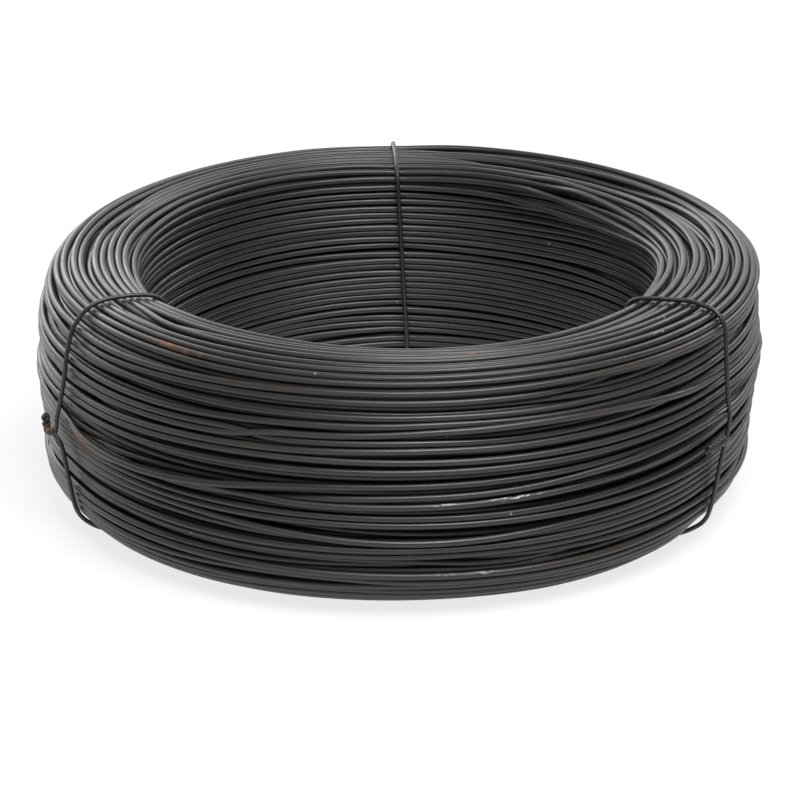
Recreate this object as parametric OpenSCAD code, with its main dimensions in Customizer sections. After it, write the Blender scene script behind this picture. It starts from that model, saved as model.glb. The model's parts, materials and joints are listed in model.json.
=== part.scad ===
// A coil of black annealed steel wire, bound with three wire ties.
// It lies flat: the coil's axis is +Z, and the floor is z = 0.
// The origin is on the axis, at the floor.

/* [Winding] */
// Diameter of the wire that the coil is wound from
wire_d = 3.05; // [2.4:0.05:5]
// Diameter over the outermost turns
outer_d = 325; // [240:1:420]
// Thickness of the winding, from the bore to the outermost turns
build = 47; // [38:0.5:80]
// Height of the coil from the floor to its highest turns
height = 109; // [90:1:160]
// How deep the furrow between two turns is
furrow_depth = 0.9; // [0.5:0.1:1]
// How far the crest of a turn is worn flat, so that the coil's sizes are exact
crest_flat = 0.1; // [0.05:0.05:0.3]

/* [Edges of the winding] */
// Rounding of the edge at the top, outside
top_outer_round = 14; // [6:0.5:18]
// Rounding of the edge at the top of the bore
top_bore_round = 9.5; // [6:0.5:14]
// Rounding of the edge at the floor, outside, where the turns slump inwards
floor_outer_round = 27; // [12:0.5:30]
// Rounding of the edge at the floor, at the bore
floor_bore_round = 8; // [6:0.5:12]

/* [Ties] */
// Diameter of the tie wire
tie_d = 2.1; // [1.4:0.1:2.6]
// Gap between a tie and the turns beside it
tie_gap = 0.3; // [0.2:0.05:0.5]
// Direction of the tie at the back, anticlockwise from +X as seen from above
back_tie_angle = 90; // [60:1:120]
// Direction of the tie at the left front
left_tie_angle = 207; // [185:1:225]
// Direction of the tie at the right front
right_tie_angle = 330; // [315:1:350]
// Height of the back tie's knot above the floor
back_knot_height = 46; // [38:1:62]
// Height of the left tie's knot above the floor
left_knot_height = 50; // [38:1:62]
// Height of the right tie's knot above the floor
right_knot_height = 53; // [38:1:62]
// Length of a twisted knot
knot_length = 22; // [12:1:30]
// Number of full turns in the twist of a knot
knot_turns = 3; // [2:1:5]

/* [Hidden] */

// Sides of the round shapes: the coil, the section of a wire, a knot
$fn = 96;
wire_sides = 32;
knot_sides = 10;
// Slices of a knot in each turn of its twist
knot_slices = 8;
// Steps of a quarter round in the core and in a tie's seat
edge_steps = 8;

outer_r = outer_d / 2;
bore_r = outer_r - build;
wire_r = wire_d / 2;
tie_r = tie_d / 2;

// The turns' centres lie this far inside the coil's overall sizes
turn_inset = wire_r - crest_flat;

// The path of a tie around the winding: it lies flush in the bore and at the floor,
// and stands proud of the turns on the top and outside
tie_offset = tie_gap + tie_r;
tie_bore_r = bore_r + tie_offset;
tie_floor_z = tie_offset;
tie_outer_r = outer_r + tie_offset;
tie_top_z = height + tie_offset;

// Radii of the tie's four bends, at the middle of its wire
bend_floor_bore = floor_bore_round;
bend_floor_outer = floor_outer_round;
bend_top_outer = top_outer_round + tie_offset;
bend_top_bore = top_bore_round;

// Centres of those bends, in the tie's own plane
centre_floor_bore = [tie_bore_r + bend_floor_bore, tie_floor_z + bend_floor_bore];
centre_floor_outer = [tie_outer_r - bend_floor_outer, tie_floor_z + bend_floor_outer];
centre_top_outer = [tie_outer_r - bend_top_outer, tie_top_z - bend_top_outer];
centre_top_bore = [tie_bore_r + bend_top_bore, tie_top_z - bend_top_bore];

// The seat that a tie presses into the winding, and how far it is cut past the turns
seat_w = tie_d + 2 * tie_gap;
seat_reach = 4 * tie_d;

// The two strands of a knot lie this far from its axis, so that they bite into each other
strand_offset = 0.9 * tie_r;

// The axis of a knot, clear of the outermost turns
knot_axis_r = outer_r + tie_gap + tie_r + strand_offset;

// Centres of the winding's four rounded edges, in its half section
floor_bore_edge = [bore_r + floor_bore_round, floor_bore_round];
floor_outer_edge = [outer_r - floor_outer_round, floor_outer_round];
top_outer_edge = [outer_r - top_outer_round, height - top_outer_round];
top_bore_edge = [bore_r + top_bore_round, height - top_bore_round];

wire_black = [0.20, 0.19, 0.18];
tie_black = [0.13, 0.12, 0.12];

// Points of a quarter round
function quarter(centre, r, from) =
    [for (i = [0 : edge_steps])
        let (a = from + 90 * i / edge_steps)
        centre + r * [cos(a), sin(a)]];

// Centres of the turns that lie side by side from point a to point b
function turns_on_run(a, b) =
    let (count = max(1, round(norm(b - a) / wire_d)))
    [for (i = [0 : count - 1]) a + (b - a) * (i + 0.5) / count];

// Centres of the turns around a rounded edge
function turns_on_edge(centre, rounding, from) =
    let (
        r = rounding - turn_inset,
        count = max(1, round(PI / 2 * r / wire_d))
    )
    [for (i = [0 : count - 1])
        let (a = from + 90 * (i + 0.5) / count)
        centre + r * [cos(a), sin(a)]];

// Every turn that shows, from the floor end round to the top end and down the bore
skin_turns = concat(
    turns_on_edge(floor_bore_edge, floor_bore_round, 180),
    turns_on_run([floor_bore_edge.x, turn_inset], [floor_outer_edge.x, turn_inset]),
    turns_on_edge(floor_outer_edge, floor_outer_round, 270),
    turns_on_run([outer_r - turn_inset, floor_outer_edge.y],
                 [outer_r - turn_inset, top_outer_edge.y]),
    turns_on_edge(top_outer_edge, top_outer_round, 0),
    turns_on_run([top_outer_edge.x, height - turn_inset],
                 [top_bore_edge.x, height - turn_inset]),
    turns_on_edge(top_bore_edge, top_bore_round, 90),
    turns_on_run([bore_r + turn_inset, top_bore_edge.y],
                 [bore_r + turn_inset, floor_bore_edge.y])
);

// The core at the bottom of the furrows
core_outline = concat(
    quarter(floor_bore_edge, floor_bore_round - furrow_depth, 180),
    quarter(floor_outer_edge, floor_outer_round - furrow_depth, 270),
    quarter(top_outer_edge, top_outer_round - furrow_depth, 0),
    quarter(top_bore_edge, top_bore_round - furrow_depth, 90)
);

// Half section of the winding, cut to its overall sizes
module winding_section() {
    intersection() {
        translate([bore_r, 0]) square([build, height]);
        union() {
            polygon(core_outline);
            for (centre = skin_turns) translate(centre) circle(r = wire_r, $fn = wire_sides);
        }
    }
}

// Outline that runs inside a tie, clear of its wire
module inside_tie() {
    clear = tie_r + tie_gap;
    polygon(concat(
        quarter(centre_floor_bore, bend_floor_bore - clear, 180),
        quarter(centre_floor_outer, bend_floor_outer - clear, 270),
        quarter(centre_top_outer, bend_top_outer - clear, 0),
        quarter(centre_top_bore, bend_top_bore - clear, 90)
    ));
}

// Seat that a tie presses into the turns in the bore and at the floor
module tie_seat(angle) {
    rotate([0, 0, angle])
        rotate([90, 0, 0])
            linear_extrude(seat_w, center = true)
                difference() {
                    translate([bore_r - seat_reach, -seat_reach])
                        square([build + 2 * seat_reach, height + 2 * seat_reach]);
                    inside_tie();
                }
}

// A straight stretch of tie wire between two points of its plane
module tie_run(a, b) {
    along = b - a;
    translate([a.x, a.y, 0])
        rotate([0, 0, atan2(along.y, along.x)])
            rotate([0, 90, 0])
                cylinder(h = norm(along), r = tie_r, $fn = wire_sides);
}

// A quarter bend of tie wire
module tie_bend(centre, r, from) {
    translate([centre.x, centre.y, 0])
        rotate([0, 0, from])
            rotate_extrude(angle = 90)
                translate([r, 0]) circle(r = tie_r, $fn = wire_sides);
}

// The loop of a tie around the winding, drawn flat
module tie_loop() {
    tie_bend(centre_floor_bore, bend_floor_bore, 180);
    tie_run([centre_floor_bore.x, tie_floor_z], [centre_floor_outer.x, tie_floor_z]);
    tie_bend(centre_floor_outer, bend_floor_outer, 270);
    tie_run([tie_outer_r, centre_floor_outer.y], [tie_outer_r, centre_top_outer.y]);
    tie_bend(centre_top_outer, bend_top_outer, 0);
    tie_run([centre_top_outer.x, tie_top_z], [centre_top_bore.x, tie_top_z]);
    tie_bend(centre_top_bore, bend_top_bore, 90);
    tie_run([tie_bore_r, centre_top_bore.y], [tie_bore_r, centre_floor_bore.y]);
}

// The twisted ends of a tie, folded flat along the outermost turns
module tie_knot(knot_height) {
    translate([knot_axis_r, 0, knot_height])
        rotate([90, 0, 0])
            linear_extrude(knot_length, twist = -360 * knot_turns,
                           slices = knot_slices * knot_turns, $fn = knot_sides)
                for (side = [-1, 1]) translate([0, side * strand_offset]) circle(r = tie_r);
}

module tie(angle, knot_height) {
    color(tie_black)
        rotate([0, 0, angle])
            union() {
                rotate([90, 0, 0]) tie_loop();
                tie_knot(knot_height);
            }
}

module coil() {
    color(wire_black)
        difference() {
            rotate_extrude() winding_section();
            tie_seat(back_tie_angle);
            tie_seat(left_tie_angle);
            tie_seat(right_tie_angle);
        }
}

module tie_back() {
    tie(back_tie_angle, back_knot_height);
}

module tie_left() {
    tie(left_tie_angle, left_knot_height);
}

module tie_right() {
    tie(right_tie_angle, right_knot_height);
}

coil();
tie_back();
tie_left();
tie_right();
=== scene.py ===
"""The looks of a coil of black annealed wire with three wire ties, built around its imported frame."""
import json
import math

import bpy
import numpy as np
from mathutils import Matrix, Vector


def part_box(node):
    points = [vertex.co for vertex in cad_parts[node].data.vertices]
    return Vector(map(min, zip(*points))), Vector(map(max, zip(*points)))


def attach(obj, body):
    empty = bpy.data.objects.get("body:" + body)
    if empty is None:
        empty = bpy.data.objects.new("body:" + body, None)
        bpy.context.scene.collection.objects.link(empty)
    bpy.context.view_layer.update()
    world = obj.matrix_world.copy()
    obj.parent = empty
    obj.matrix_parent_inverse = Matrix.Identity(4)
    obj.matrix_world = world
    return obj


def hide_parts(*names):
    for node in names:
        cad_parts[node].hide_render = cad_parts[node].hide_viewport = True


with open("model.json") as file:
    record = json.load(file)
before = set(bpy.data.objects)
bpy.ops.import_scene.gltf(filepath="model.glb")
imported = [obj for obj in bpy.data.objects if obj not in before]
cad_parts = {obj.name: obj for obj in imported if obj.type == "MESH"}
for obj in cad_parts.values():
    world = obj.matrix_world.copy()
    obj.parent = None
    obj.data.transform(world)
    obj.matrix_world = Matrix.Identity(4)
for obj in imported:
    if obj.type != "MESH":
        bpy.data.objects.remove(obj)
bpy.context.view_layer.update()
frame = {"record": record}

# Sizes from the frame, in metres
coil_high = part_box("coil")[1]
bore_mount = next(m for m in frame["record"]["mounts"] if m["name"] == "bore")
OUTER_R = coil_high.x
BORE_R = bore_mount["dims"]["r_mm"] / 1000
HEIGHT = coil_high.z

# The two wires, in metres
WIRE_D = 0.00305
WIRE_R = WIRE_D / 2
TIE_D = 0.0020
TIE_R = TIE_D / 2

# Rounded edges of the winding, in metres
TOP_OUTER_ROUND = 0.014
TOP_BORE_ROUND = 0.0095
FLOOR_OUTER_ROUND = 0.027
FLOOR_BORE_ROUND = 0.008

# Directions of the ties, anticlockwise from +X as seen from above, in degrees
BACK_TIE = 90
LEFT_TIE = 207
RIGHT_TIE = 330
TIE_DIRECTIONS = (BACK_TIE, LEFT_TIE, RIGHT_TIE)

# The winding is worked out in this many slices around the axis, from this direction on
SLICES = 120
SEAM = 135
THETA = math.radians(SEAM) + 2 * math.pi * np.arange(SLICES) / SLICES

rng = np.random.default_rng(11)


def bearing_gap(theta, direction):
    """Angles from one direction, the short way round. The direction is in degrees."""
    return (theta - math.radians(direction) + math.pi) % (2 * math.pi) - math.pi


def hump(theta, centre_deg, width_deg):
    """A smooth hump around one direction, 1 at its middle."""
    return np.exp(-((bearing_gap(theta, centre_deg) / math.radians(width_deg)) ** 2))


def around_axis(r, angle, z):
    """Points in space from their radius, bearing and height."""
    return np.stack([r * np.cos(angle), r * np.sin(angle), z], axis=1)


def smooth_between(values, i, f):
    """Values on a smooth curve through samples, at the share f of the way from sample i to the next."""
    a, b, c, d = values[i - 1], values[i], values[i + 1], values[i + 2]
    return b + 0.5 * f * (c - a + f * (2 * a - 5 * b + 4 * c - d + f * (3 * (b - c) + d - a)))


def noise_along(count, reach):
    """Smooth noise of about unit size along a chain, which changes over reach samples."""
    knots = rng.standard_normal(int(count / reach) + 5)
    place = np.arange(count) / reach + 1
    i = place.astype(int)
    return smooth_between(knots, i, place - i)


def length_along(points):
    """How far along a line each of its points lies."""
    return np.concatenate([[0], np.cumsum(np.linalg.norm(np.diff(points, axis=0), axis=1))])


def even_steps(points, step):
    """Points at even distances along a line."""
    run = length_along(points)
    count = max(int(run[-1] / step), 2)
    at = np.linspace(0, run[-1], count + 1)
    return np.stack([np.interp(at, run, points[:, i]) for i in range(points.shape[1])], axis=1)


# The outside bellies out above half height, and its upper turns lean to the right and to the back:
# heights as shares of the coil's, and how far the turns lie over there, in metres
PROFILE_HEIGHTS = (0, 0.19, 0.33, 0.52, 0.65, 0.78, 0.85, 1)
BELLY = (-0.0014, -0.0012, -0.0007, 0.0016, 0.0018, 0.0008, -0.0007, -0.0007)
LEAN_RIGHT = (-0.0024, -0.0007, 0.0002, 0.0, 0.001, 0.0012, 0.002, 0.0065)
LEAN_BACK = (-0.0006, -0.0001, 0.0002, 0.0008, 0.0014, 0.0022, 0.0028, 0.0045)

# Furrows that part the outside into bands: direction, reach in degrees, height, depth
FURROWS = (
    (0, 26, 0.0816, 0.0026),
    (2, 24, 0.0394, 0.0026),
    (262, 40, 0.058, 0.0012),
    (215, 30, 0.030, 0.0012),
)
# Half the height of a furrow, in metres
FURROW_HALF = 0.004

# Under the rim at the back right the wall of the bore is set back: direction, reach, depth, height
RECESS = (29, 30, 0.0075, 0.096)
# How sharp its upper edge is, and from which height it fades towards the floor, in metres
RECESS_EDGE = 0.0015
RECESS_FADE = 0.04

# Rounding of the edge at the floor, outside, and how much more it is at the front, in metres
FOOT_ROUND = 0.0225
FRONT_FOOT_ROUND = 0.0065
foot_round = FOOT_ROUND + FRONT_FOOT_ROUND * hump(THETA, 268, 32)

# How much room the ties take from the turns, in each slice
squeeze = sum(hump(THETA, direction, 7) for direction in TIE_DIRECTIONS)


def outside_at(z):
    """Radius of the outside at each height, in each slice."""
    share = np.clip(z / HEIGHT, 0, 1)
    reach = OUTER_R + np.interp(share, PROFILE_HEIGHTS, BELLY) - 0.5 * TIE_D * squeeze
    reach = reach + np.interp(share, PROFILE_HEIGHTS, LEAN_RIGHT) * np.cos(THETA)
    reach = reach + np.interp(share, PROFILE_HEIGHTS, LEAN_BACK) * np.sin(THETA)
    for direction, width, height, depth in FURROWS:
        fade = np.exp(-(((z - height) / FURROW_HALF) ** 2))
        reach = reach - depth * hump(THETA, direction, width) * fade
    return reach


def bore_at(z):
    """Radius of the bore at each height, in each slice."""
    direction, width, depth, height = RECESS
    below = 1 / (1 + np.exp((z - height) / RECESS_EDGE)) * np.clip(z / RECESS_FADE, 0, 1)
    return BORE_R + TIE_D * squeeze + depth * hump(THETA, direction, width) * below


def hold_in_room(r, z, inset):
    """Moves turns that have left the rounded section back into it.

    inset is how deep each turn lies at least.
    """
    low_r, high_r = bore_at(z) + inset, outside_at(z) - inset
    low_z, high_z = TIE_D * squeeze + inset, HEIGHT - 0.4 * TIE_D * squeeze - inset
    r = np.clip(r, low_r, high_r)
    z = np.clip(z, low_z, high_z)
    for rounding, out, up in (
        (TOP_OUTER_ROUND, 1, 1),
        (TOP_BORE_ROUND, -1, 1),
        (foot_round, 1, -1),
        (FLOOR_BORE_ROUND, -1, -1),
    ):
        reach = rounding - inset
        mid_r = high_r - reach if out > 0 else low_r + reach
        mid_z = high_z - reach if up > 0 else low_z + reach
        dr, dz = (r - mid_r) * out, (z - mid_z) * up
        far = np.hypot(dr, dz)
        past = (dr > 0) & (dz > 0) & (far > reach)
        back = np.where(past, reach / np.maximum(far, 1e-9), 1.0)
        r = np.where(past, mid_r + out * dr * back, r)
        z = np.where(past, mid_z + up * dz * back, z)
    return r, z


def skin_pitch(r, z):
    """Pitch of the skin's turns in wire diameters.

    It is wide on the top, closer down the outside, and close in the bore.
    """
    outside = SKIN_PITCH_FOOT + (SKIN_PITCH_SHOULDER - SKIN_PITCH_FOOT) * z / HEIGHT
    pitch = np.where(r > OUTER_R - FLOOR_OUTER_ROUND, outside, SKIN_PITCH_BORE)
    return np.where((z > HEIGHT - WIRE_D) & (r > BORE_R + WIRE_D), SKIN_PITCH_TOP, pitch)


def turns_in_shell(inset, pitch):
    """Places of the turns around the rounded section at one depth, from the middle of the floor on.

    pitch is the distance between two turns in wire diameters, or None for the skin.
    """
    low_r, high_r, low_z, high_z = BORE_R + inset, OUTER_R - inset, inset, HEIGHT - inset
    if high_r - low_r < WIRE_D:
        count = int((high_z - low_z) / (pitch * WIRE_D))
        return np.stack([np.full(count, (low_r + high_r) / 2), np.linspace(low_z, high_z, count)], axis=1)
    outline = [((low_r + high_r) / 2, low_z)]
    for rounding, out, up, start in (
        (FLOOR_OUTER_ROUND, 1, -1, -90),
        (TOP_OUTER_ROUND, 1, 1, 0),
        (TOP_BORE_ROUND, -1, 1, 90),
        (FLOOR_BORE_ROUND, -1, -1, 180),
    ):
        reach = min(max(rounding - inset, 0.0), (high_r - low_r) / 2)
        mid_r = high_r - reach if out > 0 else low_r + reach
        mid_z = high_z - reach if up > 0 else low_z + reach
        for step in range(9):
            a = math.radians(start + 90 * step / 8)
            outline.append((mid_r + reach * math.cos(a), mid_z + reach * math.sin(a)))
    outline.append(outline[0])
    line = even_steps(np.array(outline), WIRE_D / 8)
    middle = (line[1:] + line[:-1]) / 2
    step = np.linalg.norm(np.diff(line, axis=0), axis=1) / WIRE_D
    turns = np.concatenate([[0], np.cumsum(step / (pitch or skin_pitch(middle[:, 0], middle[:, 1])))])
    count = int(turns[-1])
    places = np.arange(count) * turns[-1] / count
    return np.stack([np.interp(places, turns, line[:, i]) for i in (0, 1)], axis=1)


# Pitch of the turns in wire diameters: on the skin, and in the shells below it
SKIN_PITCH_TOP = 1.5
SKIN_PITCH_SHOULDER = 1.45
SKIN_PITCH_FOOT = 1.22
SKIN_PITCH_BORE = 1.14
INNER_PITCH = 1.08
# How far under the skin the other turns stay, in wire diameters
UNDER_SKIN = 0.85
# How deep some lengths of the skin's turns sink between their neighbours, in wire diameters, the share of a
# turn over which that changes, and how much deeper the deepest of them lie
SUNK_TURNS = 0.2
SUNK_REACH = 0.3
SUNK_MOST = 1.4
# Depths of the shells from the skin inwards, in wire diameters
SHELL_DEPTHS = [0, 1.06, 2.06, 3.06, 4.06, 5.06, 6.06, 7.06]
shells = [
    turns_in_shell(WIRE_R + depth * WIRE_D, INNER_PITCH if depth else None)
    for depth in SHELL_DEPTHS
]
TURNS = np.concatenate(shells[::-1])
SKIN_START = len(TURNS) - len(shells[0])
SECOND_START = SKIN_START - len(shells[1])
THIRD_START = SECOND_START - len(shells[2])

# Turns that stray from their neighbours: where they lie on the skin (radius, height), which way they
# stray there (outwards, upwards, in wire diameters), and the direction and reach in degrees
STRAYS = (
    (BORE_R + 0.002, HEIGHT - 0.006, -1.2, -0.6, 40, 30),
    (BORE_R + 0.004, HEIGHT - 0.003, -1.7, -0.3, 34, 30),
    (BORE_R + 0.008, HEIGHT - 0.002, -1.8, 0.0, 28, 26),
    (BORE_R + 0.013, HEIGHT - 0.0015, -1.7, 0.3, 38, 24),
    (BORE_R + 0.018, HEIGHT - 0.0015, -1.3, 0.3, 20, 22),
    (BORE_R + 0.023, HEIGHT - 0.0015, -1.4, 0.5, 46, 20),
    (BORE_R + 0.028, HEIGHT - 0.0015, 1.2, 0.3, 26, 20),
    (OUTER_R - 0.0015, 0.040, 0.5, -2.2, 268, 26),
    (OUTER_R - 0.0015, 0.078, 0.4, 1.4, 300, 28),
    (OUTER_R - 0.004, 0.016, 0.5, 1.6, 246, 26),
    (OUTER_R - 0.0015, 0.062, 0.4, -1.5, 230, 24),
    (OUTER_R - 0.0015, 0.055, 0.4, 1.6, 320, 22),
    (OUTER_R - 0.0015, 0.070, 0.4, 1.5, 130, 30),
    (OUTER_R - 0.0015, 0.034, 0.4, -1.6, 40, 28),
)

# Waves that neighbouring turns share: their number, the size of a patch in metres, and how far they
# reach outwards and upwards, in wire diameters
SHARED_WAVES = 24
WAVE_PATCH = 0.045
WAVE_OUT = 0.16
WAVE_UP = 0.22
# How far each turn wanders on its own, in wire diameters, and over which shares of a turn
WANDER_OUT = 0.5
WANDER_UP = 0.46
WANDER_OUT_REACH = 0.17
WANDER_UP_REACH = 0.22
# The turns lie most evenly at the bore: share of their own wander there, and where it is full, in metres
BORE_WANDER = 0.35
FULL_WANDER = 0.012

# How the turns settle: rounds, neighbours that push a turn, rounds until these are found anew, how hard
# they push, how hard a stray is pulled to its place, and how much a wire is smoothed in a pass
ROUNDS = 96
NEIGHBOURS = 10
SEARCH_EVERY = 15
PUSH = 0.4
STRAY_PULL = 0.25
SMOOTHING = 0.25


def lay_chain():
    """The wire before it settles: radius and height of each turn in each slice, with its own wander."""
    after = np.concatenate([TURNS[1:], TURNS[-1:]])
    share = (np.arange(SLICES) / SLICES)[None, :, None]
    chain = TURNS[:, None] * (1 - share) + after[:, None] * share
    r, z = chain[..., 0].copy(), chain[..., 1].copy()
    drift_r, drift_z = np.zeros_like(r), np.zeros_like(z)
    for _ in range(SHARED_WAVES):
        waves = rng.integers(1, 5)
        across = rng.normal(0, 2 * math.pi / WAVE_PATCH, 2)
        phase = waves * THETA + across[0] * r + across[1] * z + rng.uniform(0, 2 * math.pi)
        drift_r += WAVE_OUT * WIRE_D * rng.normal() * np.cos(phase)
        drift_z += WAVE_UP * WIRE_D * rng.normal() * np.sin(phase + 1)
    loose = np.clip((r - BORE_R) / FULL_WANDER, BORE_WANDER, 1)
    own_r = WANDER_OUT * WIRE_D * loose * noise_along(r.size, WANDER_OUT_REACH * SLICES).reshape(r.shape)
    own_z = WANDER_UP * WIRE_D * loose * noise_along(r.size, WANDER_UP_REACH * SLICES).reshape(r.shape)
    r = BORE_R + (r - BORE_R) * (outside_at(z) - BORE_R) / (OUTER_R - BORE_R)
    return r + drift_r + own_r, z + drift_z + own_z


def near_turns(r, z, count):
    """For each turn in each slice, the turns that lie nearest to it there."""
    found = np.empty((SLICES, len(TURNS), count), np.int32)
    for k in range(SLICES):
        away = (r[:, k, None] - r[None, :, k]) ** 2 + (z[:, k, None] - z[None, :, k]) ** 2
        np.fill_diagonal(away, 1)
        found[k] = np.argpartition(away, count, axis=1)[:, :count]
    return found


def settle(r, z, rounds):
    """Turns push each other apart, stay smooth along the wire, and stay in their room."""
    strays = []
    for at_r, at_z, out, up, direction, reach in STRAYS:
        skin = TURNS[SKIN_START:]
        i = SKIN_START + int(np.argmin((skin[:, 0] - at_r) ** 2 + (skin[:, 1] - at_z) ** 2))
        weight = hump(THETA, direction, reach)
        strays.append((i, r[i] + out * WIRE_D * weight, z[i] + up * WIRE_D * weight, weight))
    slices = np.arange(SLICES)[:, None, None]
    inset = np.full(r.shape, WIRE_R + UNDER_SKIN * WIRE_D)
    skin_size = r[SKIN_START:].size
    sunk = np.clip(noise_along(skin_size, SUNK_REACH * SLICES), 0, SUNK_MOST).reshape(-1, SLICES)
    inset[SKIN_START:] = WIRE_R + SUNK_TURNS * WIRE_D * sunk
    for step in range(rounds):
        if step % SEARCH_EVERY == 0:
            near = near_turns(r, z, NEIGHBOURS)
        rs, zs = r.T, z.T
        dr = rs[:, :, None] - rs[slices, near]
        dz = zs[:, :, None] - zs[slices, near]
        gap = np.sqrt(dr * dr + dz * dz) + 1e-9
        push = PUSH * np.clip(WIRE_D - gap, 0, None) / gap
        r = r + (dr * push).sum(2).T
        z = z + (dz * push).sum(2).T
        for i, to_r, to_z, weight in strays:
            r[i] += STRAY_PULL * weight * (to_r - r[i])
            z[i] += STRAY_PULL * weight * (to_z - z[i])
        r, z = r.ravel(), z.ravel()
        for _ in range(2 if step < rounds - 12 else 1):
            r[1:-1] += SMOOTHING * (r[:-2] + r[2:] - 2 * r[1:-1])
            z[1:-1] += SMOOTHING * (z[:-2] + z[2:] - 2 * z[1:-1])
        r, z = r.reshape(-1, SLICES), z.reshape(-1, SLICES)
        held_r, held_z = hold_in_room(r, z, inset)
        for i, _, _, weight in strays:
            keep = np.clip(1.6 * weight, 0, 1)
            held_r[i] = keep * np.maximum(r[i], BORE_R - 2 * WIRE_D) + (1 - keep) * held_r[i]
            held_z[i] = keep * np.clip(z[i], WIRE_R, HEIGHT) + (1 - keep) * held_z[i]
        r, z = held_r, held_z
    return r, z


wire_r, wire_z = settle(*lay_chain(), ROUNDS)


def fine_chain(values, per_turn):
    """Samples of a chain between its slices, on a smooth curve: per_turn of them in each turn."""
    flat = np.concatenate([values.ravel()[:1], values.ravel(), values.ravel()[-1:].repeat(2)])
    place = np.arange(len(TURNS) * per_turn) * SLICES / per_turn
    place = np.minimum(place, len(TURNS) * SLICES - 1.001)
    i = place.astype(int)
    return smooth_between(flat, i + 1, place - i)


def winding_run(first, last, per_turn):
    """Points along the wire from one turn to another, and the turn that each lies on."""
    turn = np.arange(len(TURNS) * per_turn) / per_turn
    angle = math.radians(SEAM) + 2 * math.pi * turn
    r, z = fine_chain(wire_r, per_turn), fine_chain(wire_z, per_turn)
    points = around_axis(r, angle, z)
    part = slice(first * per_turn, min(last * per_turn + 1, len(points)))
    return points[part], turn[part]


def sweep_tree():
    """Geometry nodes that draw a round wire along a path, with the place around it kept as an attribute."""
    tree = bpy.data.node_groups.new("drawn_wire", "GeometryNodeTree")
    face = tree.interface
    face.new_socket("Path", in_out="INPUT", socket_type="NodeSocketGeometry")
    face.new_socket("Wire diameter", in_out="INPUT", socket_type="NodeSocketFloat")
    face.new_socket("Sides", in_out="INPUT", socket_type="NodeSocketInt")
    face.new_socket("Finish", in_out="INPUT", socket_type="NodeSocketMaterial")
    face.new_socket("Wire", in_out="OUTPUT", socket_type="NodeSocketGeometry")
    nodes, links = tree.nodes, tree.links
    given, out = nodes.new("NodeGroupInput"), nodes.new("NodeGroupOutput")
    path = nodes.new("GeometryNodeMeshToCurve")
    upright = nodes.new("GeometryNodeSetCurveNormal")
    upright.mode = "Z_UP"
    half = nodes.new("ShaderNodeMath")
    half.operation = "DIVIDE"
    half.inputs[1].default_value = 2
    section = nodes.new("GeometryNodeCurvePrimitiveCircle")
    around = nodes.new("GeometryNodeSplineParameter")
    mark = nodes.new("GeometryNodeStoreNamedAttribute")
    mark.data_type, mark.domain = "FLOAT", "POINT"
    mark.inputs["Name"].default_value = "around"
    sweep = nodes.new("GeometryNodeCurveToMesh")
    sweep.inputs["Fill Caps"].default_value = True
    smooth = nodes.new("GeometryNodeSetShadeSmooth")
    real = nodes.new("GeometryNodeRealizeInstances")
    finish = nodes.new("GeometryNodeSetMaterial")
    links.new(given.outputs["Path"], path.inputs["Mesh"])
    links.new(path.outputs["Curve"], upright.inputs["Curve"])
    links.new(given.outputs["Wire diameter"], half.inputs[0])
    links.new(half.outputs[0], section.inputs["Radius"])
    links.new(given.outputs["Sides"], section.inputs["Resolution"])
    links.new(section.outputs["Curve"], mark.inputs["Geometry"])
    links.new(around.outputs["Factor"], mark.inputs["Value"])
    links.new(upright.outputs["Curve"], sweep.inputs["Curve"])
    links.new(mark.outputs["Geometry"], sweep.inputs["Profile Curve"])
    links.new(sweep.outputs["Mesh"], smooth.inputs["Geometry"])
    links.new(smooth.outputs["Geometry"], real.inputs["Geometry"])
    links.new(real.outputs["Geometry"], finish.inputs["Geometry"])
    links.new(given.outputs["Finish"], finish.inputs["Material"])
    links.new(finish.outputs["Geometry"], out.inputs["Wire"])
    return tree


DRAWN_WIRE = sweep_tree()


def drawn_wire(name, points, marks, diameter, sides, finish):
    """A wire along points. marks are values along it that its finish reads."""
    path = bpy.data.meshes.new(name + "_path")
    count = len(points)
    path.vertices.add(count)
    path.vertices.foreach_set("co", points.astype(np.float32).ravel())
    path.edges.add(count - 1)
    ends = np.stack([np.arange(count - 1), np.arange(1, count)], axis=1)
    path.edges.foreach_set("vertices", ends.astype(np.int32).ravel())
    for mark, values in marks.items():
        path.attributes.new(mark, "FLOAT", "POINT").data.foreach_set("value", values.astype(np.float32))
    guide = bpy.data.objects.new(name + "_guide", path)
    bpy.context.scene.collection.objects.link(guide)
    sweep = guide.modifiers.new("sweep", "NODES")
    sweep.node_group = DRAWN_WIRE
    sockets = {s.name: s.identifier for s in DRAWN_WIRE.interface.items_tree if s.in_out == "INPUT"}
    sweep[sockets["Wire diameter"]] = diameter
    sweep[sockets["Sides"]] = sides
    sweep[sockets["Finish"]] = finish
    depsgraph = bpy.context.evaluated_depsgraph_get()
    mesh = bpy.data.meshes.new_from_object(guide.evaluated_get(depsgraph))
    bpy.data.objects.remove(guide)
    bpy.data.meshes.remove(path)
    mesh.name = name
    lay_out_strips(mesh)
    wire = bpy.data.objects.new(name, mesh)
    bpy.context.scene.collection.objects.link(wire)
    return wire


def point_values(mesh, name):
    """One value for each point of a mesh, from a named attribute."""
    values = np.zeros(len(mesh.vertices), np.float32)
    mesh.attributes[name].data.foreach_get("value", values)
    return values


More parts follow.
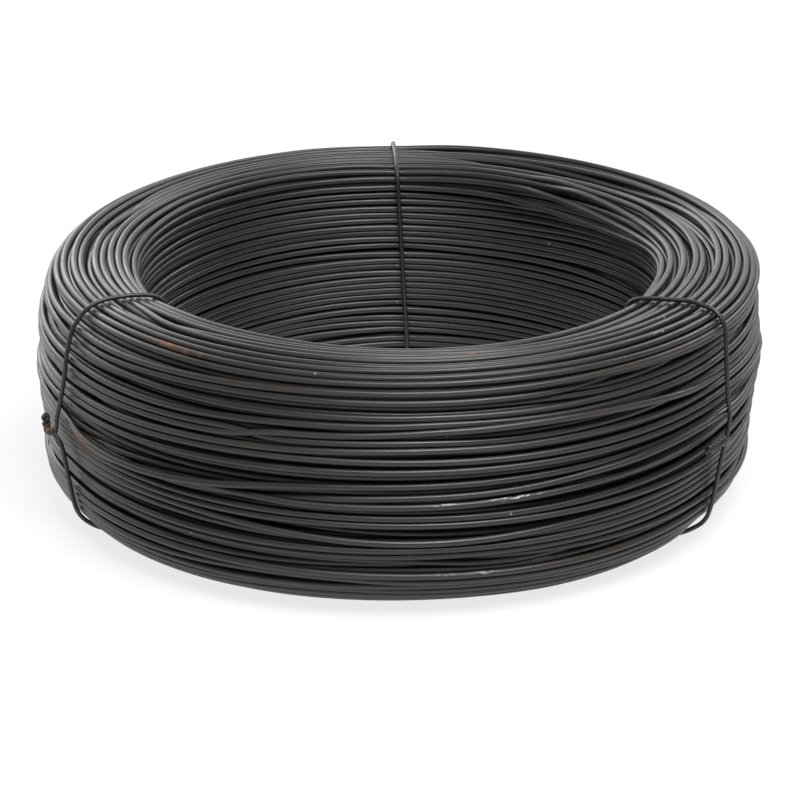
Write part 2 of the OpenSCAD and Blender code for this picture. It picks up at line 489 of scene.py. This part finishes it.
def lay_out_strips(mesh):
    """UV maps of a wire: one with a strip for each turn, and one in metres along and shares around."""
    corner_point = np.zeros(len(mesh.loops), np.int32)
    mesh.loops.foreach_get("vertex_index", corner_point)
    sizes = np.zeros(len(mesh.polygons), np.int32)
    mesh.polygons.foreach_get("loop_total", sizes)
    starts = np.concatenate([[0], np.cumsum(sizes)[:-1]])
    turn = point_values(mesh, "turn")[corner_point]
    around = point_values(mesh, "around")[corner_point]
    strip = np.repeat(np.floor(np.minimum.reduceat(turn, starts) + 1e-4), sizes)
    widest = np.repeat(np.maximum.reduceat(around, starts), sizes)
    around = np.where((widest - around > 0.5) & np.repeat(sizes == 4, sizes), around + 1, around)
    first, last = strip.min(), strip.max()
    u = 0.01 + 0.98 * np.clip(turn - strip, 0, 1)
    v = (strip - first + 0.06 + 0.88 * around) / (last - first + 1)
    along = point_values(mesh, "along")[corner_point]
    for name, across, up in (("OFBake", u, v), ("wire_strip", along, around)):
        layer = mesh.uv_layers.new(name=name)
        layer.data.foreach_set("uv", np.stack([across, up], axis=1).astype(np.float32).ravel())


def add_node(tree, kind, inputs=(), **settings):
    """A node of a finish: inputs are (socket, value or another node's output)."""
    node = tree.nodes.new(kind)
    for name, value in settings.items():
        setattr(node, name, value)
    for socket, value in inputs:
        if isinstance(value, bpy.types.NodeSocket):
            tree.links.new(value, node.inputs[socket])
        else:
            node.inputs[socket].default_value = value
    return node


def calc(tree, operation, a, b=0.0):
    """The output of one step of arithmetic."""
    return add_node(tree, "ShaderNodeMath", [(0, a), (1, b)], operation=operation).outputs[0]


def vector_step(tree, operation, *values):
    """The outputs of one step of arithmetic on vectors."""
    return add_node(tree, "ShaderNodeVectorMath", list(enumerate(values)), operation=operation).outputs


def blend_colour(tree, share, a, b):
    """The output of a blend of two colours."""
    mix = add_node(tree, "ShaderNodeMix", [(0, share), (6, a), (7, b)], data_type="RGBA")
    return mix.outputs[2]


def along_wire(tree):
    """Coordinates that follow the wire: metres along it, and a point on the circle around it."""
    strip = add_node(tree, "ShaderNodeUVMap", uv_map="wire_strip")
    split = add_node(tree, "ShaderNodeSeparateXYZ", [(0, strip.outputs["UV"])])
    angle = calc(tree, "MULTIPLY", split.outputs["Y"], 2 * math.pi)
    return split.outputs["X"], calc(tree, "COSINE", angle), calc(tree, "SINE", angle)


def wire_noise(tree, scale_along, scale_around, detail):
    """Noise that follows the wire, from 0 to 1."""
    along, across, up = along_wire(tree)
    point = add_node(
        tree,
        "ShaderNodeCombineXYZ",
        [
            (0, calc(tree, "MULTIPLY", along, scale_along)),
            (1, calc(tree, "MULTIPLY", across, scale_around)),
            (2, calc(tree, "MULTIPLY", up, scale_around)),
        ],
    )
    noise = add_node(
        tree, "ShaderNodeTexNoise", [("Vector", point.outputs[0]), ("Scale", 1.0), ("Detail", detail)]
    )
    return noise.outputs["Fac"]


def ranged(tree, value, low, high, to_low=0.0, to_high=1.0):
    """A value brought from one range to another, held at its ends."""
    step = add_node(
        tree,
        "ShaderNodeMapRange",
        [("Value", value), ("From Min", low), ("From Max", high), ("To Min", to_low), ("To Max", to_high)],
        clamp=True,
    )
    return step.outputs["Result"]


def mark_value(tree, name):
    """A value that was stored along the wire."""
    return add_node(tree, "ShaderNodeAttribute", attribute_name=name).outputs["Fac"]


def shoulder_share(tree, place):
    """How far a surface faces up and outwards at once, up to 1 on the shoulder of a turn."""
    flat = vector_step(tree, "MULTIPLY", place, (1, 1, 0))["Vector"]
    outwards = vector_step(tree, "NORMALIZE", flat)["Vector"]
    slanted = vector_step(tree, "ADD", outwards, (0, 0, 1))["Vector"]
    shoulder = vector_step(tree, "NORMALIZE", slanted)["Vector"]
    facing = add_node(tree, "ShaderNodeNewGeometry").outputs["Normal"]
    return vector_step(tree, "DOT_PRODUCT", shoulder, facing)["Value"]


# Colours of the marks on the wire
# Bare steel, also used as a painted highlight on the shoulders of the turns
BARE_STEEL_AND_HIGHLIGHT = (0.66, 0.63, 0.58, 1)
DARK_RUST = (0.10, 0.037, 0.017, 1)
PALE_RUST = (0.23, 0.103, 0.052, 1)
PALE_DUST = (0.45, 0.41, 0.36, 1)


def annealed_finish(name, cool, warm, roughness):
    """Black annealing scale on drawn steel, with rust where it is marked, pale flecks of bare metal that
    are also a painted highlight where they are marked, and dust.
    """
    material = bpy.data.materials.new(name)
    material.use_nodes = True
    tree = material.node_tree
    shader = tree.nodes["Principled BSDF"]

    # The scale is greyer on some lengths of the wire and browner on others
    long_patches = wire_noise(tree, 5.0, 0.25, 3)
    short_patches = wire_noise(tree, 45.0, 0.8, 4)
    drawn_lines = wire_noise(tree, 14.0, 9.0, 3)
    hue = calc(tree, "ADD", mark_value(tree, "tone"), calc(tree, "SUBTRACT", long_patches, 0.5))
    scale_colour = blend_colour(tree, ranged(tree, hue, 0.1, 0.9), (*cool, 1), (*warm, 1))
    half_patches = calc(tree, "MULTIPLY", short_patches, 0.5)
    half_lines = calc(tree, "MULTIPLY", drawn_lines, 0.5)
    shade = calc(tree, "ADD", half_patches, half_lines)
    shaded = add_node(
        tree,
        "ShaderNodeHueSaturation",
        [("Value", ranged(tree, shade, 0.3, 0.7, 0.72, 1.28)), ("Color", scale_colour)],
    )

    # Bare metal in flecks where other wires have rubbed, which is also a painted highlight: the pale flecks
    # lie only on the shoulder of a turn, where the surface faces up and outwards
    place = add_node(tree, "ShaderNodeTexCoord").outputs["Object"]
    flecks = ranged(tree, wire_noise(tree, 380.0, 1.6, 3), 0.47, 0.6)
    rubbed_and_highlight = calc(tree, "MULTIPLY", mark_value(tree, "scuff_and_highlight"), flecks)
    rubbed_and_highlight = calc(tree, "MULTIPLY", rubbed_and_highlight, ranged(tree, shoulder_share(tree, place), 0.82, 0.97))
    bare = blend_colour(tree, rubbed_and_highlight, shaded.outputs[0], BARE_STEEL_AND_HIGHLIGHT)

    # Rust in speckles that grow together where it is marked
    speckle_size = [("Vector", place), ("Scale", 260.0), ("Detail", 5.0)]
    speckle = add_node(tree, "ShaderNodeTexNoise", speckle_size).outputs["Fac"]
    rust = ranged(tree, calc(tree, "ADD", mark_value(tree, "rust"), speckle), 0.86, 1.12)
    rust_colour = blend_colour(tree, ranged(tree, speckle, 0.35, 0.65), DARK_RUST, PALE_RUST)
    rusted = blend_colour(tree, rust, bare, rust_colour)

    # Specks of pale dust
    cells = add_node(tree, "ShaderNodeTexVoronoi", [("Vector", place), ("Scale", 150.0)])
    chance = add_node(tree, "ShaderNodeSeparateColor", [(0, cells.outputs["Color"])]).outputs[0]
    in_the_middle = ranged(tree, cells.outputs["Distance"], 0.10, 0.05)
    speck = calc(tree, "MULTIPLY", in_the_middle, ranged(tree, chance, 0.955, 0.96))
    dusted = blend_colour(tree, calc(tree, "MULTIPLY", speck, 0.7), rusted, PALE_DUST)

    tree.links.new(dusted, shader.inputs["Base Color"])
    scale_rough = ranged(tree, short_patches, 0.3, 0.7, roughness - 0.06, roughness + 0.08)
    rough = calc(tree, "ADD", scale_rough, calc(tree, "MULTIPLY", rust, 0.35))
    tree.links.new(rough, shader.inputs["Roughness"])
    rust_flakes = calc(tree, "MULTIPLY", calc(tree, "MULTIPLY", rust, speckle), 2.0)
    relief = calc(tree, "ADD", drawn_lines, rust_flakes)
    bump = add_node(tree, "ShaderNodeBump", [("Height", relief), ("Strength", 0.35), ("Distance", 0.00012)])
    tree.links.new(bump.outputs[0], shader.inputs["Normal"])
    shader.inputs["Specular IOR Level"].default_value = 0.62
    return material


WIRE_FINISH = annealed_finish(
    "black_annealed_wire", (0.016, 0.0163, 0.0168), (0.031, 0.0255, 0.0216), 0.39
)
TIE_FINISH = annealed_finish("tie_wire", (0.012, 0.012, 0.012), (0.017, 0.0155, 0.014), 0.42)

# Places of rust: direction, radius and height, reach along the turns and across them, strength
RUST = (
    (208, 0.1630, 0.062, 0.006, 0.0055, 0.66),
    (209, 0.1640, 0.056, 0.005, 0.0030, 0.44),
    (213.5, 0.1630, 0.0495, 0.016, 0.0065, 0.68),
    (183, 0.149, 0.1070, 0.006, 0.0040, 0.42),
    (300, 0.1615, 0.030, 0.030, 0.0040, 0.26),
    (298, 0.1615, 0.085, 0.012, 0.0030, 0.34),
    (60, 0.117, 0.070, 0.040, 0.0060, 0.24),
    (25, 0.150, 0.1070, 0.020, 0.0040, 0.28),
)
# Streaks of rust on one turn: direction, radius and height, reach along the turn, strength
RUST_STREAKS = (
    (230.5, 0.149, 0.1072, 0.017, 0.56),
    (236, 0.149, 0.1072, 0.014, 0.64),
    (242, 0.149, 0.1072, 0.014, 0.58),
    (208, 0.1630, 0.062, 0.005, 0.62),
    (213.5, 0.1630, 0.0495, 0.017, 0.64),
    (282.7, 0.1345, 0.1072, 0.004, 0.54),
)
# Places where the scale is rubbed off one turn and a highlight is painted on it in pale flecks, stated in
# the same way
SCUFFS_AND_HIGHLIGHTS = (
    (286.5, 0.1630, 0.0530, 0.007, 1.0),
    (277.0, 0.1630, 0.0548, 0.0025, 0.7),
    (282.5, 0.1605, 0.1043, 0.008, 0.7),
    (279.0, 0.1590, 0.1062, 0.005, 0.5),
    (277.5, 0.1600, 0.0212, 0.003, 0.4),
    (283.8, 0.1590, 0.0190, 0.004, 0.5),
    (290.0, 0.1590, 0.0180, 0.003, 0.4),
    (178.3, 0.1480, 0.1072, 0.003, 0.6),
    (149.0, 0.1240, 0.1072, 0.004, 0.6),
    (318.0, 0.1500, 0.1075, 0.004, 0.6),
    (20.0, 0.1625, 0.0700, 0.008, 0.7),
    (95.0, 0.1625, 0.0450, 0.010, 0.7),
    (150.0, 0.1625, 0.0800, 0.007, 0.7),
)


def spread_of(points, spots):
    """How strongly each point of a wire is marked by a list of spots."""
    bearing = np.arctan2(points[:, 1], points[:, 0])
    radius = np.hypot(points[:, 0], points[:, 1])
    total = np.zeros(len(points))
    for direction, r, z, along, across, strength in spots:
        turn = bearing_gap(bearing, direction)
        off = np.hypot(radius - r, points[:, 2] - z)
        mark = np.exp(-((turn * r / along) ** 2) - (off / across) ** 2)
        total = np.maximum(total, strength * mark)
    return total


def marked_along(points, spots):
    """How strongly each point of a wire is marked, where a spot marks only the turn nearest to it."""
    order = np.arange(len(points)) * np.linalg.norm(points[1] - points[0])
    total = np.zeros(len(points))
    for direction, r, z, along, strength in spots:
        bearing = math.radians(direction)
        away = np.linalg.norm(points - (r * math.cos(bearing), r * math.sin(bearing), z), axis=1)
        nearest = int(np.argmin(away))
        if away[nearest] < WIRE_D:
            total = np.maximum(total, strength * np.exp(-(((order - order[nearest]) / along) ** 2)))
    return total


# The winding in runs of the one wire: name, first turn, last turn, samples in a turn, sides
SKIN_MIDDLE = (SKIN_START + len(TURNS)) // 2
RUNS = (
    ("winding_skin_outside", SKIN_START, SKIN_MIDDLE, 180, 10),
    ("winding_skin_inside", SKIN_MIDDLE, len(TURNS), 180, 10),
    ("winding_second_shell", SECOND_START, SKIN_START, 120, 8),
    ("winding_third_shell", THIRD_START, SECOND_START, 90, 6),
    ("winding_heart", 0, THIRD_START, 60, 4),
)
slow_tone = noise_along(len(TURNS) * SLICES, 1.3 * SLICES)
for name, first, last, per_turn, sides in RUNS:
    points, turn = winding_run(first, last, per_turn)
    marks = {
        "turn": turn,
        "along": turn * math.pi * (BORE_R + OUTER_R),
        "tone": 0.5 + 0.28 * np.interp(turn * SLICES, np.arange(len(slow_tone)), slow_tone),
        "rust": np.maximum(spread_of(points, RUST), marked_along(points, RUST_STREAKS)),
        # The scuff marks are rubbed scale and a painted highlight at once
        "scuff_and_highlight": marked_along(points, SCUFFS_AND_HIGHLIGHTS),
    }
    piece = drawn_wire(name, points, marks, WIRE_D, sides, WIRE_FINISH)
    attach(piece, "root")
    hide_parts("coil")


# Slices that a tie is pulled around, sides of its wire, and steps along its loop and along all of it
TIED_SLICES = 5
TIE_SIDES = 12
LOOP_STEP = 0.0008
TIE_STEP = 0.0007


def turns_back(a, b, c):
    """Whether the way from a over b to c doesn't turn to the left."""
    return np.cross(np.subtract(b, a), np.subtract(c, b)) <= 0


def flat_hull(points):
    """The convex hull of points in a plane, anticlockwise."""
    points = sorted(map(tuple, points))
    halves = []
    for ordered in (points, points[::-1]):
        half = []
        for p in ordered:
            while len(half) > 1 and turns_back(half[-2], half[-1], p):
                half.pop()
            half.append(p)
        halves.append(half[:-1])
    return np.array(halves[0] + halves[1])


def tie_outline(direction, slack):
    """The line of a tie pulled tight around the turns near one direction, and around its slack points."""
    close = np.argsort(np.abs(bearing_gap(THETA, direction)))[:TIED_SLICES]
    centres = np.stack([wire_r[:, close].ravel(), wire_z[:, close].ravel()], axis=1)
    rim = np.radians(np.arange(0, 360, 15))
    reach = WIRE_R + TIE_R
    grown = centres[:, None] + reach * np.stack([np.cos(rim), np.sin(rim)], axis=1)[None]
    grown = np.concatenate([grown.reshape(-1, 2), np.array(slack).reshape(-1, 2)])
    grown[:, 1] = np.maximum(grown[:, 1], TIE_R + 0.0001)
    return flat_hull(grown)


def twisted_ends(start, direction, length, turns, bend):
    """The two ends of a tie, twisted into a pigtail that lies on the turns.

    start is where they leave the loop. bend is how far the pigtail is bent upwards at its root and at
    its tip, in degrees.
    """
    along = np.linspace(0.0, length, 80)
    heading = np.radians(np.interp(along / length, (0.45, 0.75), bend))
    step = along[1] - along[0]
    sideways = np.concatenate([[0], np.cumsum(np.cos(heading[:-1]) * step)])
    upwards = np.concatenate([[0], np.cumsum(np.sin(heading[:-1]) * step)])
    axis_r = start[0] + TIE_R + 0.2 * TIE_D * (along / length) ** 2
    strands = []
    for phase in (math.pi / 2, -math.pi / 2):
        spin = phase + 2 * math.pi * turns * along / length
        across = TIE_R * np.sin(spin)
        r = axis_r + TIE_R * np.cos(spin)
        bearing = math.radians(direction) - (sideways - across * np.sin(heading)) / axis_r
        z = start[1] + upwards + across * np.cos(heading)
        strands.append(around_axis(r, bearing, z)[8:])
    return strands


def tie_route(direction, drift, slack, knot_z, knot_length, knot_turns, knot_bend):
    """Points of a tie: its two twisted ends, and the loop around the winding between them."""
    outline = tie_outline(direction, slack)
    outline = even_steps(np.concatenate([outline, outline[:1]]), LOOP_STEP)[:-1]
    outside = outline[:, 0] > (BORE_R + OUTER_R) / 2
    start = int(np.argmin(np.where(outside, np.abs(outline[:, 1] - knot_z), 1)))
    loop = np.roll(outline, -start, axis=0)
    loop = np.concatenate([loop, loop[:1]])
    turned = np.interp(np.linspace(0, 1, len(loop)), LOOP_SHARES, drift)
    angle = np.radians(direction + turned)
    loop3 = around_axis(loop[:, 0], angle, loop[:, 1])[3:-3]
    ends = twisted_ends(loop[0], direction + drift[0], knot_length, knot_turns, knot_bend)
    route = np.concatenate([ends[0][::-1], loop3, ends[1]])
    held = np.concatenate([np.ones(len(ends[0]) - 6), np.zeros(len(loop3) + 12), np.ones(len(ends[1]) - 6)])
    loose = SMOOTHING * (1 - held[1:-1, None])
    for _ in range(10):
        route[1:-1] += loose * (route[:-2] + route[2:] - 2 * route[1:-1])
    return even_steps(route, TIE_STEP)


# Places on the loop of a tie, as shares of its length from its knot: up the outside, over the top,
# down the bore, along the floor and up to the knot
LOOP_SHARES = (0, 0.06, 0.1, 0.17, 0.25, 0.33, 0.68, 0.82, 0.88, 0.96, 1)
# Ties: node, direction, how far the loop drifts from it at those places in degrees, points (radius, height)
# of its slack, and height, length, turns and bend of the knot
TIES = (
    (
        "tie_back", BACK_TIE, (0.5, 0.7, 0.8, 1.0, 0.8, 0.4, -2.4, -2.0, -1.0, 0.0, 0.5),
        (), 0.046, 0.022, 3, (0, 0),
    ),
    (
        "tie_left", LEFT_TIE, (-0.4, 0.9, 1.2, 0.6, 1.3, 4.0, 4.0, 0.8, 1.5, 0.9, 0.3),
        (), 0.050, 0.017, 3, (-17, 80),
    ),
    (
        "tie_right", RIGHT_TIE, (-1.2, -2.3, -1.8, -0.4, 0.4, -1.9, -3.0, -1.5, -1.5, -1.6, -1.6),
        ((0.1585, 0.0126), (0.1558, 0.0090)), 0.053, 0.020, 3, (0, 4),
    ),
)
# The knot at the left is rusty
TIE_RUST = ((LEFT_TIE - 3, OUTER_R + TIE_D, 0.050, 0.014, 0.010, 0.56),)
for node, direction, drift, slack, *knot in TIES:
    route = tie_route(direction, drift, slack, *knot)
    run = length_along(route)
    marks = {
        "turn": 0.999 * run / run[-1],
        "along": run,
        "tone": 0.5 + 0.2 * noise_along(len(route), 40),
        "rust": spread_of(route, TIE_RUST),
        "scuff_and_highlight": np.zeros(len(route)),
    }
    piece = drawn_wire(node + "_bent", route, marks, TIE_D, TIE_SIDES, TIE_FINISH)
    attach(piece, "root")
    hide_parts(node)

# The camera stands where the photograph was taken from, and looks at the middle of the coil
CAMERA_DISTANCE = 1.409
CAMERA_RISE = math.radians(21.53)
CAMERA_LENS = 138.7
CAMERA_SHIFT = (2.3 / 800, -40.8 / 800)
camera = bpy.data.objects.new("camera", bpy.data.cameras.new("camera"))
bpy.context.scene.collection.objects.link(camera)
camera.location = (
    0,
    -CAMERA_DISTANCE * math.cos(CAMERA_RISE),
    HEIGHT / 2 + CAMERA_DISTANCE * math.sin(CAMERA_RISE),
)
camera.rotation_euler = (math.pi / 2 - CAMERA_RISE, 0, 0)
camera.data.lens = CAMERA_LENS
camera.data.sensor_width = 36
camera.data.shift_x, camera.data.shift_y = CAMERA_SHIFT
camera.data.clip_start, camera.data.clip_end = 0.05, 50
bpy.context.scene.camera = camera


def shown_rays(tree):
    """1 for the rays that show a backdrop: to the camera, in a reflection or through glass."""
    rays = add_node(tree, "ShaderNodeLightPath").outputs
    either = calc(tree, "MAXIMUM", rays["Is Camera Ray"], rays["Is Glossy Ray"])
    return calc(tree, "MAXIMUM", either, rays["Is Transmission Ray"])


def pale_floor():
    """A white floor that keeps the coil's shadow: white to the eye, and plain grey paint to the light."""
    material = bpy.data.materials.new("pale_floor")
    material.use_nodes = True
    tree = material.node_tree
    tree.nodes.remove(tree.nodes["Principled BSDF"])
    paint = add_node(tree, "ShaderNodeBsdfDiffuse", [("Color", (0.35, 0.35, 0.35, 1))])
    tint = add_node(tree, "ShaderNodeBsdfDiffuse", [("Color", (0.22, 0.22, 0.22, 1))])
    glow = add_node(tree, "ShaderNodeEmission", [("Strength", 0.78)])
    seen = add_node(tree, "ShaderNodeAddShader", [(0, tint.outputs[0]), (1, glow.outputs[0])])
    choice = [("Fac", shown_rays(tree)), (1, paint.outputs[0]), (2, seen.outputs[0])]
    pick = add_node(tree, "ShaderNodeMixShader", choice)
    tree.links.new(pick.outputs[0], tree.nodes["Material Output"].inputs["Surface"])
    return material


# Half the width of the floor, in metres
FLOOR_REACH = 8
floor_corners = [(x * FLOOR_REACH, y * FLOOR_REACH, 0) for x, y in ((-1, -1), (1, -1), (1, 1), (-1, 1))]
floor_mesh = bpy.data.meshes.new("floor")
floor_mesh.from_pydata(floor_corners, [], [(0, 1, 2, 3)])
floor_mesh.materials.append(pale_floor())
floor = bpy.data.objects.new("floor", floor_mesh)
bpy.context.scene.collection.objects.link(floor)


def soft_lamp(name, place, aim, width, depth, watts):
    """A studio lamp that looks at a point."""
    lamp = bpy.data.lights.new(name, "AREA")
    lamp.shape = "RECTANGLE"
    lamp.size = width
    lamp.size_y = depth
    lamp.energy = watts
    holder = bpy.data.objects.new(name, lamp)
    bpy.context.scene.collection.objects.link(holder)
    holder.location = place
    holder.rotation_euler = (Vector(aim) - Vector(place)).to_track_quat("-Z", "Y").to_euler()


soft_lamp("overhead_softbox", (0.25, -0.6, 1.25), (0, 0, 0), 0.8, 0.65, 20)
soft_lamp("back_softbox", (-0.75, 1.2, 0.85), (0, 0, 0.1), 0.7, 0.7, 6)
soft_lamp("left_softbox", (-1.3, 0.35, 1.1), (0, 0, 0.1), 0.6, 0.6, 2.5)
soft_lamp("right_softbox", (0.8, 0.95, 1.0), (0, 0, 0.1), 0.5, 0.5, 6)

# A studio with a bright wall behind, a dim one in front and a dark ceiling: light everywhere, and for each
# wall where it starts and is full along Y, and its strength
ROOM_LIGHT = 0.1
WALLS = ((0.1, 0.7, 2.6), (-0.5, -0.95, 0.4))
world = bpy.data.worlds.new("studio")
bpy.context.scene.world = world
world.use_nodes = True
tree = world.node_tree
looking = add_node(tree, "ShaderNodeTexCoord").outputs["Generated"]
way = add_node(tree, "ShaderNodeSeparateXYZ", [(0, looking)])
low = ranged(tree, way.outputs["Z"], 0.75, 0.4)
# The walls are brighter towards the left
lit_side = ranged(tree, way.outputs["X"], 0.4, -0.3, 0.2, 1.0)
room = ROOM_LIGHT
for start, full, strength in WALLS:
    wall = calc(tree, "MULTIPLY", ranged(tree, way.outputs["Y"], start, full), low)
    wall = calc(tree, "MULTIPLY", wall, lit_side)
    room = calc(tree, "ADD", calc(tree, "MULTIPLY", wall, strength), room)
tree.links.new(room, tree.nodes["Background"].inputs["Strength"])
tree.nodes["Background"].inputs["Color"].default_value = (1, 1, 1, 1)

bpy.context.scene.view_settings.view_transform = "Standard"
